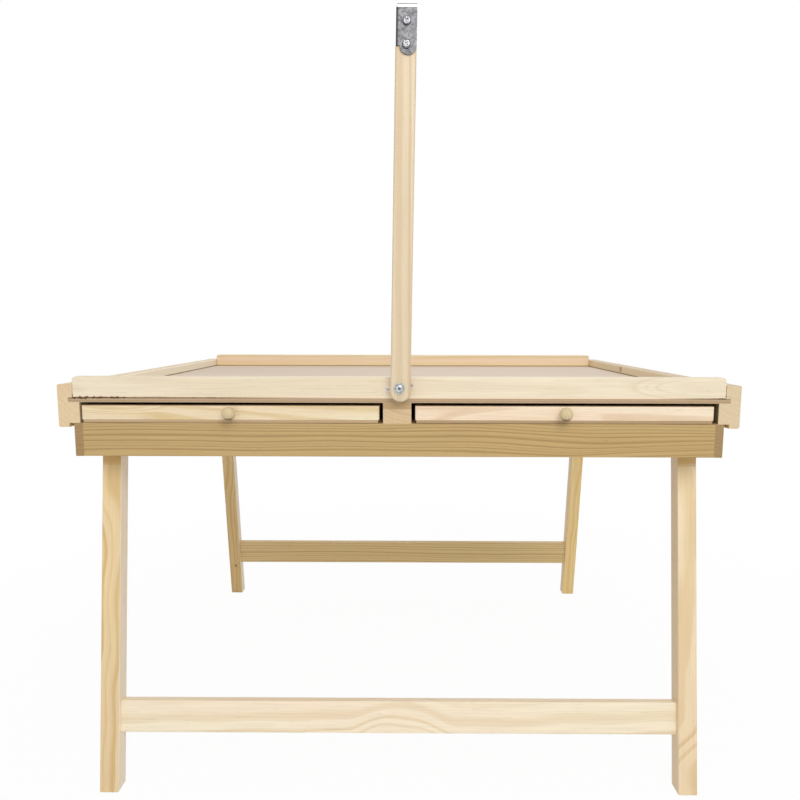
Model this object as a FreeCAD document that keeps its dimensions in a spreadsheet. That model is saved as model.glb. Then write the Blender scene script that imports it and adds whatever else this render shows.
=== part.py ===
# Folding jigsaw puzzle table: a shallow tray on two grooved side rails, four drawers under it,
# two folding leg frames below, and a wooden arm with a steel bracket that swings on the front rim.
# X runs along the table's long side, Y from front to back and Z up.
# The origin is on the floor, under the middle of the table.
import FreeCAD, Part
import math
import os
import Sketcher

os.makedirs("parts", exist_ok=True)
doc = FreeCAD.newDocument("puzzle_table")

# Driving sizes in millimetres, and the angles in degrees, grouped by the piece that they belong to
sizes = {
    # Whole table, over the side rails, and up to the top of the rims
    "table_width": 885.0,
    "table_depth": 680.0,
    "table_height": 569.0,
    # Side rails: an L section, grooved for the tray board and rebated below for the aprons
    "rail_height": 56.0,
    "rail_width": 27.9,
    "rail_lip": 18.9,
    "rail_groove_wall": 13.5,
    "rail_step_below_rim": 10.0,
    "rail_edge_radius": 2.5,
    # Tray board, the lining laid on it, and the rims that stand on the lining
    "tray_thickness": 5.7,
    "tray_slack": 0.2,
    "tray_end_gap": 0.4,
    "lining_thickness": 2.5,
    "lining_gap": 0.3,
    "rim_height": 25.1,
    "rim_thickness": 17.5,
    "rim_end_gap": 0.3,
    "rim_end_radius": 5.0,
    "rim_heel_chamfer": 1.6,
    "rim_edge_radius": 2.0,
    # Beam between the drawers, which stands left of the middle with them, panel under them, and the
    # strips that stop them
    "beam_width": 36.8,
    "beam_shift": 1.6,
    "drawer_opening": 27.2,
    "panel_thickness": 3.0,
    "panel_gap": 0.3,
    "stop_width": 18.0,
    "stop_height": 14.0,
    # Aprons and the blocks in their corners
    "apron_height": 43.9,
    "apron_thickness": 11.0,
    "apron_set_in": 19.9,
    "apron_edge_radius": 1.0,
    "block_width": 40.0,
    "block_rise": 2.0,
    "block_chamfer": 5.0,
    # Drawers
    "drawer_beam_gap": 5.0,
    "drawer_rail_gap": 4.2,
    "drawer_stop_gap": 1.0,
    "drawer_lift": 0.6,
    "drawer_top_gap": 3.9,
    "drawer_base": 4.0,
    "drawer_base_inset": 1.5,
    "drawer_base_setback": 0.5,
    "drawer_front": 12.0,
    "drawer_side": 8.0,
    "drawer_side_drop": 1.5,
    "drawer_edge_radius": 1.6,
    # Knobs: a turned ball on a neck, with a spigot glued into the drawer front
    "knob_diameter": 17.3,
    "knob_neck_diameter": 9.0,
    "knob_neck_length": 1.6,
    "knob_spigot_diameter": 6.0,
    "knob_spigot_length": 9.0,
    "glue_gap": 0.1,
    # Legs and stretchers
    "leg_splay_angle": 7.9,
    "leg_width": 26.0,
    "leg_depth": 25.0,
    "leg_edge_radius": 2.0,
    "foot_overhang": 6.7,
    "foot_chamfer": 0.8,
    "leg_stop_gap": 0.2,
    "front_pivot_below_panel": 14.0,
    "rear_pivot_below_front": 17.0,
    "front_stretcher_height": 44.0,
    "rear_stretcher_height": 51.0,
    "stretcher_thickness": 13.0,
    "front_stretcher_floor_gap": 76.6,
    "rear_stretcher_floor_gap": 79.0,
    "stretcher_setback": 7.0,
    "stretcher_edge_radius": 1.5,
    "tenon_length": 12.0,
    "tenon_shoulder": 6.0,
    "tenon_cheek": 2.5,
    # Leg pivots
    "pivot_washer_thickness": 2.9,
    "pivot_washer_diameter": 18.0,
    "pivot_washer_play": 0.2,
    "pivot_bolt_diameter": 6.0,
    "pivot_running_fit": 0.06,
    "pivot_head_diameter": 13.0,
    "pivot_head_height": 3.0,
    "pivot_head_radius": 1.8,
    "pivot_nut_diameter": 11.0,
    "pivot_nut_height": 5.0,
    "pivot_nut_play": 0.2,
    "pivot_bolt_tail": 1.5,
    # Swinging arm
    "arm_width": 25.7,
    "arm_thickness": 12.0,
    "arm_reach": 456.4,
    "arm_heel": 4.8,
    "arm_side_shift": 1.4,
    "arm_edge_radius": 3.0,
    "arm_lean_angle": 0.85,
    "arm_pivot_right": 1.3,
    "arm_pivot_below_rim": 13.1,
    # Steel angle bracket on the arm's upper end
    "bracket_thickness": 2.0,
    "bracket_side_bend": 3.0,
    "bracket_top_bend": 3.6,
    "bracket_plate_length": 48.3,
    "bracket_tab_width": 20.4,
    "bracket_back_length": 30.0,
    "bracket_back_corner": 5.0,
    "bracket_hole_diameter": 5.0,
    "bracket_hole_from_end": 9.0,
    "bracket_flange_gap": 0.1,
    "bracket_set_in": 0.6,
    # Bracket screws
    "screw_head_diameter": 10.5,
    "screw_head_height": 2.6,
    "screw_head_radius": 1.9,
    "screw_shank_diameter": 4.0,
    "screw_shank_length": 12.0,
    "screw_upper_below_top": 20.5,
    "screw_spacing": 26.3,
    "screw_side_shift": 0.5,
    "screw_recess_length": 5.2,
    "screw_recess_width": 1.3,
    "screw_recess_depth": 1.5,
    # Flange plate that carries the arm's bolt
    "plate_length": 38.0,
    "plate_height": 13.6,
    "plate_thickness": 2.0,
    "plate_tip_radius": 4.4,
    "plate_tilt_angle": 9.0,
    "plate_boss_diameter": 9.0,
    "plate_boss_length": 11.0,
    "plate_screw_spacing": 30.6,
    "plate_screw_head": 4.0,
    "plate_screw_rise": 1.0,
    "plate_screw_crown": 0.7,
    "plate_screw_shank": 2.6,
    "plate_screw_length": 10.0,
    # Arm bolt and washer
    "bolt_diameter": 5.0,
    "bolt_running_fit": 0.06,
    "bolt_head_diameter": 10.6,
    "bolt_head_height": 3.4,
    "bolt_head_radius": 2.4,
    "bolt_socket_diameter": 3.4,
    "bolt_socket_depth": 2.2,
    "washer_diameter": 14.6,
    "washer_thickness": 0.9,
    "washer_play": 0.2,
}

sheet = doc.addObject("Spreadsheet::Sheet", "Sizes")
for row, (name, value) in enumerate(sizes.items(), start=1):
    sheet.set("A%d" % row, name)
    sheet.set("B%d" % row, str(value))
    sheet.setAlias("B%d" % row, name)
doc.recompute()


class Length:
    """A number together with the sheet expression that gives it."""

    def __init__(self, value, text):
        self.value = value
        self.text = text

    def __add__(self, other):
        other = as_length(other)
        return Length(self.value + other.value, "(%s + %s)" % (self.text, other.text))

    def __sub__(self, other):
        other = as_length(other)
        return Length(self.value - other.value, "(%s - %s)" % (self.text, other.text))

    def __mul__(self, factor):
        factor = as_length(factor)
        return Length(self.value * factor.value, "(%s * %s)" % (self.text, factor.text))

    def __truediv__(self, divisor):
        divisor = as_length(divisor)
        return Length(self.value / divisor.value, "(%s / %s)" % (self.text, divisor.text))

    def __neg__(self):
        return Length(-self.value, "(0 - %s)" % self.text)


def as_length(number):
    return number if isinstance(number, Length) else Length(float(number), "(%s)" % number)


def size(name):
    return Length(float(sheet.get(name)), "Sizes." + name)


def tangent(angle):
    return Length(math.tan(math.radians(angle.value)), "tan(%s)" % angle.text)


def cosine(angle):
    return Length(math.cos(math.radians(angle.value)), "cos(%s)" % angle.text)


def sine(angle):
    return Length(math.sin(math.radians(angle.value)), "sin(%s)" % angle.text)


def root(length):
    return Length(math.sqrt(length.value), "sqrt(%s)" % length.text)


# The sketch plane across each row axis. A pad off the one across Y runs towards -Y
PLANES = {"X": "YZ_Plane", "Y": "XZ_Plane", "Z": "XY_Plane"}
side_shares = {"left": -1, "right": 1}
end_shares = {"front": -1, "rear": 1}
zero = as_length(0)
right_angle = as_length(90)


def new_body(name):
    body = doc.addObject("PartDesign::Body", name)
    body.Label = name
    return body


def new_sketch(body, axis, offset):
    """A sketch across the axis, at the offset along it."""
    role = PLANES[axis]
    sketch = body.newObject("Sketcher::SketchObject", body.Name + "_sketch")
    plane = [feature for feature in body.Origin.OriginFeatures if feature.Role == role][0]
    sketch.AttachmentSupport = (plane, [""])
    sketch.MapMode = "FlatFace"
    shift = -offset if axis == "Y" else offset
    sketch.setExpression("AttachmentOffset.Base.z", shift.text)
    return sketch


def pin_point(sketch, geometry, position, across, up):
    """Binds one point of a sketch to two lengths measured from its origin."""
    for kind, axis_line, length in (("DistanceX", -2, across), ("DistanceY", -1, up)):
        if length.value == 0:
            sketch.addConstraint(Sketcher.Constraint("PointOnObject", geometry, position, axis_line))
            continue
        datum = Sketcher.Constraint(kind, -1, 1, geometry, position, length.value)
        index = sketch.addConstraint(datum)
        sketch.setExpression("Constraints[%d]" % index, length.text)


def draw_outline(sketch, corners):
    """A closed outline of straight lines through the corners."""
    points = [FreeCAD.Vector(across.value, up.value, 0) for across, up in corners]
    count = len(points)
    for index in range(count):
        line = Part.LineSegment(points[index], points[(index + 1) % count])
        sketch.addGeometry(line, False)
    for index in range(count):
        joined = Sketcher.Constraint("Coincident", index, 2, (index + 1) % count, 1)
        sketch.addConstraint(joined)
    for index, (across, up) in enumerate(corners):
        pin_point(sketch, index, 1, across, up)


def draw_circle(sketch, centre, radius):
    middle = FreeCAD.Vector(centre[0].value, centre[1].value, 0)
    index = sketch.addGeometry(Part.Circle(middle, FreeCAD.Vector(0, 0, 1), radius.value), False)
    pin_point(sketch, index, 3, centre[0], centre[1])
    datum = sketch.addConstraint(Sketcher.Constraint("Radius", index, radius.value))
    sketch.setExpression("Constraints[%d]" % datum, radius.text)


def rectangle(low_across, high_across, low_up, high_up):
    return [
        (low_across, low_up),
        (high_across, low_up),
        (high_across, high_up),
        (low_across, high_up),
    ]


def extrude(body, kind, axis, low, high, draw):
    """Pads or pockets the drawn sketch from low to high along the axis."""
    before = body.Shape.Volume if kind == "Pocket" else 0.0
    sketch = new_sketch(body, axis, high if axis == "Y" else low)
    draw(sketch)
    feature = body.newObject("PartDesign::" + kind, body.Name + "_" + kind.lower())
    feature.Profile = (sketch, [""])
    feature.setExpression("Length", (high - low).text)
    if kind == "Pocket":
        feature.Reversed = True
    sketch.Visibility = False
    body.recompute(True)
    if kind == "Pocket" and not feature.Shape.Volume < before:
        raise ValueError("%s cuts nothing from %s" % (feature.Name, body.Label))
    return feature


def pad(body, axis, low, high, corners):
    return extrude(body, "Pad", axis, low, high, lambda sketch: draw_outline(sketch, corners))


def pad_disc(body, axis, low, high, centre, radius):
    return extrude(body, "Pad", axis, low, high, lambda sketch: draw_circle(sketch, centre, radius))


def pocket(body, axis, low, high, corners):
    return extrude(body, "Pocket", axis, low, high, lambda sketch: draw_outline(sketch, corners))


def drill(body, axis, low, high, centre, radius):
    return extrude(body, "Pocket", axis, low, high, lambda sketch: draw_circle(sketch, centre, radius))


def near(number, length):
    return abs(abs(number) - abs(length.value)) < 1e-4


def straight(axis, **planes):
    """Accepts the straight edges along an axis that lie in the given planes, on either side."""

    def accepts(edge):
        if edge.Curve.TypeId != "Part::GeomLine":
            return False
        ends = edge.Vertexes[-1].Point - edge.Vertexes[0].Point
        if not near(ends["XYZ".index(axis)], as_length(ends.Length)):
            return False
        middle = edge.CenterOfMass
        return all(near(getattr(middle, letter), length) for letter, length in planes.items())

    return accepts


def crown(radius, height):
    """Accepts the circle of that radius at that height on a turned piece."""

    def accepts(edge):
        round_edge = edge.Curve.TypeId == "Part::GeomCircle"
        return round_edge and near(edge.Curve.Radius, radius) and near(edge.CenterOfMass.z, height)

    return accepts


def below(height):
    """Accepts the edges that lie wholly under a height."""
    return lambda edge: edge.BoundBox.ZMax < height.value


def soften(body, kind, amount, *chosen):
    """Fillets or chamfers the edges of the body that any of the choosers accepts."""
    base = body.Tip
    names = [
        "Edge%d" % number
        for number, edge in enumerate(base.Shape.Edges, start=1)
        if any(accepts(edge) for accepts in chosen)
    ]
    if not names:
        raise ValueError("no edge to soften on " + body.Label)
    feature = body.newObject("PartDesign::" + kind, body.Name + "_" + kind.lower())
    feature.Base = (base, names)
    feature.setExpression("Radius" if kind == "Fillet" else "Size", amount.text)
    body.recompute(True)


def place(item, base, turn_axis=None, angle=None):
    """Moves a body from its own frame to the table, turned about one row axis."""
    if turn_axis:
        turn = FreeCAD.Rotation(FreeCAD.Vector(*turn_axis), angle.value)
        item.Placement = FreeCAD.Placement(FreeCAD.Vector(0, 0, 0), turn)
        item.setExpression("Placement.Rotation.Angle", angle.text)
    for letter, length in zip("xyz", base):
        item.setExpression("Placement.Base." + letter, length.text)


def board(name, x_span, y_span, z_span, along="Y"):
    """A plain board, extruded along the row axis that its grain follows."""
    spans = {"X": x_span, "Y": y_span, "Z": z_span}
    across, up = {"X": ("Y", "Z"), "Y": ("X", "Z"), "Z": ("X", "Y")}[along]
    body = new_body(name)
    corners = rectangle(spans[across][0], spans[across][1], spans[up][0], spans[up][1])
    pad(body, along, spans[along][0], spans[along][1], corners)
    return body


def mirrored(span, side):
    """A span on the right or the front, moved to the left or the back for side -1."""
    return (span[0], span[1]) if side > 0 else (-span[1], -span[0])


def headed(name, head_radius, head_height, crown_radius, shank_radius, reach):
    """A screw or bolt turned about its own Z axis, seated at zero, with a domed head."""
    body = new_body(name)
    sketch = new_sketch(body, "Y", zero)
    profile = [
        (zero, head_height),
        (head_radius, head_height),
        (head_radius, zero),
        (shank_radius, zero),
        (shank_radius, -reach),
        (zero, -reach),
    ]
    draw_outline(sketch, profile)
    feature = body.newObject("PartDesign::Revolution", name + "_turning")
    feature.Profile = (sketch, [""])
    feature.ReferenceAxis = (sketch, ["V_Axis"])
    sketch.Visibility = False
    body.recompute(True)
    soften(body, "Fillet", crown_radius, crown(head_radius, head_height))
    return body


def washer(name, axis, low, high, centre, radius, bore):
    """A flat ring between two planes across the axis."""
    body = new_body(name)
    pad_disc(body, axis, low, high, centre, radius)
    drill(body, axis, low, high, centre, bore)
    return body


def group(name, members):
    """Like pieces kept together as one node of separate solids."""
    compound = doc.addObject("Part::Compound", name)
    compound.Label = name
    compound.Links = members
    return compound


parts = []

# Levels and planes that several pieces share
half_width = size("table_width") / 2
half_depth = size("table_depth") / 2
rim_top = size("table_height")
lining_top = rim_top - size("rim_height")
tray_top = lining_top - size("lining_thickness")
tray_under = tray_top - size("tray_thickness")
apron_top = tray_under - size("drawer_opening")
apron_bottom = apron_top - size("apron_height")
rail_top = rim_top - size("rail_step_below_rim")
rail_bottom = rail_top - size("rail_height")
rail_inner = half_width - size("rail_width")
lip_inner = half_width - size("rail_lip")
groove_end = half_width - size("rail_groove_wall")
apron_outer = half_width - size("apron_set_in")
apron_inner = apron_outer - size("apron_thickness")
panel_under = apron_top - size("panel_thickness")
whole_depth = (-half_depth, half_depth)

# Side rails, front to back, with the tray's groove and the rebate that sits on the side apron
for side_name, side in side_shares.items():
    rail = new_body(side_name + "_side_rail")
    section = [
        (half_width, rail_bottom),
        (groove_end, rail_bottom),
        (groove_end, apron_top),
        (rail_inner, apron_top),
        (rail_inner, tray_under),
        (groove_end, tray_under),
        (groove_end, tray_top + size("tray_slack")),
        (lip_inner, tray_top + size("tray_slack")),
        (lip_inner, rail_top),
        (half_width, rail_top),
    ]
    pad(rail, "Y", -half_depth, half_depth, [(across * side, up) for across, up in section])
    edges = (straight("Y", x=half_width), straight("Y", z=rail_top))
    soften(rail, "Fillet", size("rail_edge_radius"), *edges)
    parts.append(rail)

# Tray board, slid into the rails' grooves
tray_end = groove_end - size("tray_end_gap")
tray_board = board("tray_board", (-tray_end, tray_end), whole_depth, (tray_under, tray_top), "Z")
parts.append(tray_board)

# Smooth lining on the tray board, between the rails' lips: the puzzle lies on it
lining_half = lip_inner - size("lining_gap")
lining_across = (-lining_half, lining_half)
lining = board("tray_lining", lining_across, whole_depth, (tray_top, lining_top), "Z")
parts.append(lining)

# The arm's pivot, and the flange plate's screws on either side of it, on the front rim
arm_pivot_right = size("arm_pivot_right")
arm_pivot_height = rim_top - size("arm_pivot_below_rim")
boss_bore = size("plate_boss_diameter") / 2 + size("glue_gap")
plate_screw_bore = size("plate_screw_shank") / 2 + size("glue_gap")
screw_half = size("plate_screw_spacing") / 2
plate_screw_spots = []
for side in side_shares.values():
    sideways = screw_half * cosine(size("plate_tilt_angle")) * side
    upwards = screw_half * sine(size("plate_tilt_angle")) * side
    plate_screw_spots.append((arm_pivot_right + sideways, arm_pivot_height + upwards))

# Rims that stand on the lining at the front and the rear, between the rails' lips
rim_half = lip_inner - size("rim_end_gap")
for end_name, end in end_shares.items():
    rim_span = mirrored((half_depth - size("rim_thickness"), half_depth), end)
    rim = board(end_name + "_rim", (-rim_half, rim_half), rim_span, (lining_top, rim_top), "X")
    soften(rim, "Fillet", size("rim_end_radius"), straight("Y", z=rim_top))
    soften(rim, "Chamfer", size("rim_heel_chamfer"), straight("Y", z=lining_top))
    soften(rim, "Fillet", size("rim_edge_radius"), straight("X", z=rim_top))
    if end_name == "front":
        boss_end = -half_depth + size("plate_boss_length") + size("glue_gap")
        drill(rim, "Y", -half_depth, boss_end, (arm_pivot_right, arm_pivot_height), boss_bore)
        for spot in plate_screw_spots:
            screw_end = -half_depth + size("plate_screw_length")
            drill(rim, "Y", -half_depth, screw_end, spot, plate_screw_bore)
    parts.append(rim)

# Beam between the left and the right drawers, full depth
beam_middle = -size("beam_shift")
beam_half = size("beam_width") / 2
beam_across = (beam_middle - beam_half, beam_middle + beam_half)
beam = board("centre_beam", beam_across, whole_depth, (apron_top, tray_under))
parts.append(beam)

# Aprons: the front and rear ones sit between the side ones
for end_name, end in end_shares.items():
    apron_span = mirrored((half_depth - size("apron_thickness"), half_depth), end)
    span_across = (-apron_inner, apron_inner)
    apron = board(end_name + "_apron", span_across, apron_span, (apron_bottom, apron_top), "X")
    soften(apron, "Fillet", size("apron_edge_radius"), straight("X", z=apron_bottom))
    parts.append(apron)

# Leg lines: both pairs of legs follow one slanted line, mirrored front to back
splay = size("leg_splay_angle")
foot_line = half_depth + size("foot_overhang")
front_pivot_height = panel_under - size("front_pivot_below_panel")
rear_pivot_height = front_pivot_height - size("rear_pivot_below_front")
pivot_heights = {"front": front_pivot_height, "rear": rear_pivot_height}
pivot_bore = size("pivot_bolt_diameter") / 2 + size("pivot_running_fit")


def leg_line(height):
    """How far the legs' centreline stands from the middle of the table at a height."""
    return foot_line - height * tangent(splay)


for side_name, side in side_shares.items():
    apron_across = mirrored((apron_inner, apron_outer), side)
    apron = board(side_name + "_apron", apron_across, whole_depth, (apron_bottom, apron_top))
    soften(apron, "Fillet", size("apron_edge_radius"), straight("Y", z=apron_bottom))
    for end_name, end in end_shares.items():
        height = pivot_heights[end_name]
        centre = (leg_line(height) * end, height)
        drill(apron, "X", apron_across[0], apron_across[1], centre, pivot_bore)
    parts.append(apron)

# Thin panel under the drawers, let in flush between the aprons
panel_half = apron_inner - size("panel_gap")
panel_depth = half_depth - size("apron_thickness") - size("panel_gap")
panel = board(
    "bottom_panel",
    (-panel_half, panel_half),
    (-panel_depth, panel_depth),
    (panel_under, apron_top),
    "Z",
)
parts.append(panel)

# Strips across the middle that stop the drawers
stop_half = size("stop_width") / 2
stop_height = (apron_top, apron_top + size("stop_height"))
stop_spans = {"left": (-rail_inner, beam_across[0]), "right": (beam_across[1], rail_inner)}
for side_name, stop_across in stop_spans.items():
    stop = board(side_name + "_drawer_stop", stop_across, (-stop_half, stop_half), stop_height, "X")
    parts.append(stop)

# Corner blocks: the slanted face is the stop that sets the splay of an open leg
block_foot = apron_bottom + size("block_rise")
stop_offset = (size("leg_depth") / 2 + size("leg_stop_gap")) / cosine(splay)
for end_name, end in end_shares.items():
    for side_name, side in side_shares.items():
        block = new_body("%s_%s_corner_block" % (end_name, side_name))
        apron_face = half_depth - size("apron_thickness")
        outline = [
            (apron_face, block_foot),
            (leg_line(block_foot) + stop_offset, block_foot),
            (leg_line(panel_under) + stop_offset, panel_under),
            (apron_face, panel_under),
        ]
        across = mirrored((apron_inner - size("block_width"), apron_inner), side)
        pad(block, "X", across[0], across[1], [(along * end, up) for along, up in outline])
        inner_edge = straight("Y", x=apron_inner - size("block_width"), z=block_foot)
        soften(block, "Chamfer", size("block_chamfer"), inner_edge)
        parts.append(block)

# Drawers: a front, two sides and a back, all standing on a thin base, with a ball knob
near_beam = beam_half + size("drawer_beam_gap")
far_side = rail_inner - size("drawer_rail_gap")
drawer_middle = (near_beam + far_side) / 2
base_low = apron_top + size("drawer_lift")
base_high = base_low + size("drawer_base")
front_top = tray_under - size("drawer_top_gap")
side_top = front_top - size("drawer_side_drop")
drawer_back = stop_half + size("drawer_stop_gap")
front_inner = half_depth - size("drawer_front")
knob_height = (base_high + front_top) / 2
knob_reach = size("knob_neck_length") + size("knob_diameter") / 2


def beside(span, side):
    """A span from the beam's middle outwards, on one side of it."""
    low, high = mirrored(span, side)
    return (beam_middle + low, beam_middle + high)


def drawer(name, side, end):
    wall = size("drawer_side")
    front = board(
        name + "_front",
        beside((near_beam, far_side), side),
        mirrored((front_inner, half_depth), end),
        (base_high, front_top),
        "X",
    )
    face_edges = (straight("X", y=half_depth, z=front_top), straight("Z", y=half_depth))
    soften(front, "Fillet", size("drawer_edge_radius"), *face_edges)
    spigot_bore = size("knob_spigot_diameter") / 2 + size("glue_gap")
    knob_across = beam_middle + drawer_middle * side
    centre = (knob_across, knob_height)
    spigot_span = (half_depth - size("knob_spigot_length") - size("glue_gap"), half_depth)
    drilled = mirrored(spigot_span, end)
    drill(front, "Y", drilled[0], drilled[1], centre, spigot_bore)

    side_depth = mirrored((drawer_back, front_inner), end)
    beam_side = board(
        name + "_inner_side",
        beside((near_beam, near_beam + wall), side),
        side_depth,
        (base_high, side_top),
    )
    rail_side = board(
        name + "_outer_side",
        beside((far_side - wall, far_side), side),
        side_depth,
        (base_high, side_top),
    )
    back = board(
        name + "_back",
        beside((near_beam + wall, far_side - wall), side),
        mirrored((drawer_back, drawer_back + wall), end),
        (base_high, side_top),
        "X",
    )
    inset = size("drawer_base_inset")
    base = board(
        name + "_base",
        beside((near_beam + inset, far_side - inset), side),
        mirrored((drawer_back, half_depth - size("drawer_base_setback")), end),
        (base_low, base_high),
        "Z",
    )
    parts.extend([front, beam_side, rail_side, back, base])

    ball = doc.addObject("Part::Sphere", name + "_ball")
    ball.setExpression("Radius", (size("knob_diameter") / 2).text)
    stems = (("neck", zero), ("spigot", size("knob_spigot_length")))
    turnings = [ball]
    for stem_name, depth in stems:
        stem = doc.addObject("Part::Cylinder", "%s_%s" % (name, stem_name))
        stem.setExpression("Radius", (size("knob_%s_diameter" % stem_name) / 2).text)
        stem.setExpression("Height", (knob_reach + depth).text)
        turnings.append(stem)
    knob = doc.addObject("Part::MultiFuse", name + "_knob")
    knob.Label = name + "_knob"
    knob.Shapes = turnings
    spot = (knob_across, (half_depth + knob_reach) * end, knob_height)
    place(knob, spot, (end, 0, 0), right_angle)
    parts.append(knob)


for end_name, end in end_shares.items():
    for side_name, side in side_shares.items():
        drawer("%s_%s_drawer" % (end_name, side_name), side, end)

# Leg frames, each made upright about its own pivot and then splayed: two legs with a rounded
# top about the pivot bolt, feet cut level with the floor, and a stretcher tenoned between them
leg_outer = apron_inner - size("pivot_washer_thickness") - size("pivot_washer_play")
leg_inner = leg_outer - size("leg_width")
leg_half = size("leg_depth") / 2
stretcher_front = leg_half - size("stretcher_setback")
stretcher_back = stretcher_front - size("stretcher_thickness")


def along_leg(pivot_height, height):
    """Distance down the leg from the pivot to a height over the floor."""
    return (pivot_height - height) / cosine(splay)


for end_name, end in end_shares.items():
    pivot_height = pivot_heights[end_name]
    pivot = (zero, leg_line(pivot_height) * end, pivot_height)
    foot = along_leg(pivot_height, zero)
    foot_slope = leg_half * tangent(splay)
    stretcher_low = -along_leg(pivot_height, size(end_name + "_stretcher_floor_gap"))
    stretcher_high = stretcher_low + size(end_name + "_stretcher_height")
    thick = mirrored((stretcher_back, stretcher_front), end)
    tenon_thick = (thick[0] + size("tenon_cheek"), thick[1] - size("tenon_cheek"))
    tenon_tall = (stretcher_low + size("tenon_shoulder"), stretcher_high - size("tenon_shoulder"))
    tenon_end = leg_inner + size("tenon_length")
    for side_name, side in side_shares.items():
        leg = new_body("%s_%s_leg" % (end_name, side_name))
        across = mirrored((leg_inner, leg_outer), side)
        shank = [
            (leg_half * end, -foot - foot_slope),
            (leg_half * end, zero),
            (-(leg_half * end), zero),
            (-(leg_half * end), foot_slope - foot),
        ]
        pad(leg, "X", across[0], across[1], shank)
        pad_disc(leg, "X", across[0], across[1], (zero, zero), leg_half)
        soften(leg, "Fillet", size("leg_edge_radius"), straight("Z"))
        soften(leg, "Chamfer", size("foot_chamfer"), below(foot_slope + size("foot_chamfer") - foot))
        drill(leg, "X", across[0], across[1], (zero, zero), pivot_bore)
        mortise = mirrored((leg_inner, tenon_end + size("glue_gap")), side)
        walls = rectangle(
            tenon_thick[0] - size("glue_gap"),
            tenon_thick[1] + size("glue_gap"),
            tenon_tall[0] - size("glue_gap"),
            tenon_tall[1] + size("glue_gap"),
        )
        pocket(leg, "X", mortise[0], mortise[1], walls)
        place(leg, pivot, (1, 0, 0), splay * end)
        parts.append(leg)
    stretcher = new_body(end_name + "_stretcher")
    faces = rectangle(thick[0], thick[1], stretcher_low, stretcher_high)
    pad(stretcher, "X", -leg_inner, leg_inner, faces)
    soften(stretcher, "Fillet", size("stretcher_edge_radius"), straight("X"))
    tenon = rectangle(tenon_thick[0], tenon_thick[1], tenon_tall[0], tenon_tall[1])
    pad(stretcher, "X", -tenon_end, tenon_end, tenon)
    place(stretcher, pivot, (1, 0, 0), splay * end)
    parts.append(stretcher)

# Leg pivots: a bolt through each side apron and leg, a washer between the two, and a nut inside
nut_face = leg_inner - size("pivot_nut_play")
nut_end = nut_face - size("pivot_nut_height")
shank_reach = apron_outer - nut_end + size("pivot_bolt_tail")
washer_seat = apron_inner - size("pivot_washer_thickness")
nut_radius = size("pivot_nut_diameter") / 2
flat_share = math.sqrt(3) / 2
hexagon_shares = (
    (1, 0),
    (0.5, flat_share),
    (-0.5, flat_share),
    (-1, 0),
    (-0.5, -flat_share),
    (0.5, -flat_share),
)
bolts, washers, nuts = [], [], []
for end_name, end in end_shares.items():
    height = pivot_heights[end_name]
    depth = leg_line(height) * end
    for side_name, side in side_shares.items():
        corner = "%s_%s" % (end_name, side_name)
        bolt = headed(
            corner + "_pivot_bolt",
            size("pivot_head_diameter") / 2,
            size("pivot_head_height"),
            size("pivot_head_radius"),
            size("pivot_bolt_diameter") / 2,
            shank_reach,
        )
        spacer = washer(
            corner + "_pivot_washer",
            "Z",
            zero,
            size("pivot_washer_thickness"),
            (zero, zero),
            size("pivot_washer_diameter") / 2,
            pivot_bore,
        )
        nut = new_body(corner + "_pivot_nut")
        corners = [(nut_radius * across, nut_radius * up) for across, up in hexagon_shares]
        pad(nut, "Z", zero, size("pivot_nut_height"), corners)
        drill(nut, "Z", zero, size("pivot_nut_height"), (zero, zero), pivot_bore)
        place(bolt, (apron_outer * side, depth, height), (0, side, 0), right_angle)
        place(spacer, (washer_seat * side, depth, height), (0, side, 0), right_angle)
        place(nut, (nut_end * side, depth, height), (0, side, 0), right_angle)
        bolts.append(bolt)
        washers.append(spacer)
        nuts.append(nut)
parts.append(group("leg_pivot_bolts", bolts))
parts.append(group("leg_pivot_washers", washers))
parts.append(group("leg_pivot_nuts", nuts))

# Flange plate on the front rim: a lozenge with a boss let into the rim, which carries the arm bolt
plate = new_body("pivot_plate")
plate_thick = size("plate_thickness")
waist_radius = size("plate_height") / 2
tip_radius = size("plate_tip_radius")
tip_reach = size("plate_length") / 2 - tip_radius
# The straight sides touch the waist's circle and the tips' circles
slope = (waist_radius - tip_radius) / tip_reach
slope_cosine = root(as_length(1) - slope * slope)
waist_touch = (waist_radius * slope, waist_radius * slope_cosine)
tip_touch = (tip_reach + tip_radius * slope, tip_radius * slope_cosine)
upper = [(-tip_touch[0], tip_touch[1]), (-waist_touch[0], waist_touch[1]), waist_touch, tip_touch]
lower = [(across, -up) for across, up in reversed(upper)]
pad(plate, "Y", -plate_thick, zero, upper + lower)
pad_disc(plate, "Y", -plate_thick, zero, (zero, zero), waist_radius)
for side in side_shares.values():
    pad_disc(plate, "Y", -plate_thick, zero, (tip_reach * side, zero), tip_radius)
boss_radius = size("plate_boss_diameter") / 2
pad_disc(plate, "Y", zero, size("plate_boss_length"), (zero, zero), boss_radius)
thread_bore = size("bolt_diameter") / 2 + size("bolt_running_fit")
drill(plate, "Y", -plate_thick, size("plate_boss_length"), (zero, zero), thread_bore)
for side in side_shares.values():
    drill(plate, "Y", -plate_thick, zero, (screw_half * side, zero), plate_screw_bore)
pivot_point = (arm_pivot_right, -half_depth, arm_pivot_height)
place(plate, pivot_point, (0, -1, 0), size("plate_tilt_angle"))
parts.append(plate)

plate_screws = []
for side_name, spot in zip(side_shares, plate_screw_spots):
    screw = headed(
        side_name + "_plate_screw",
        size("plate_screw_head") / 2,
        size("plate_screw_rise"),
        size("plate_screw_crown"),
        size("plate_screw_shank") / 2,
        size("plate_screw_length"),
    )
    place(screw, (spot[0], -half_depth - plate_thick, spot[1]), (1, 0, 0), right_angle)
    plate_screws.append(screw)
parts.append(group("plate_screws", plate_screws))

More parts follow.
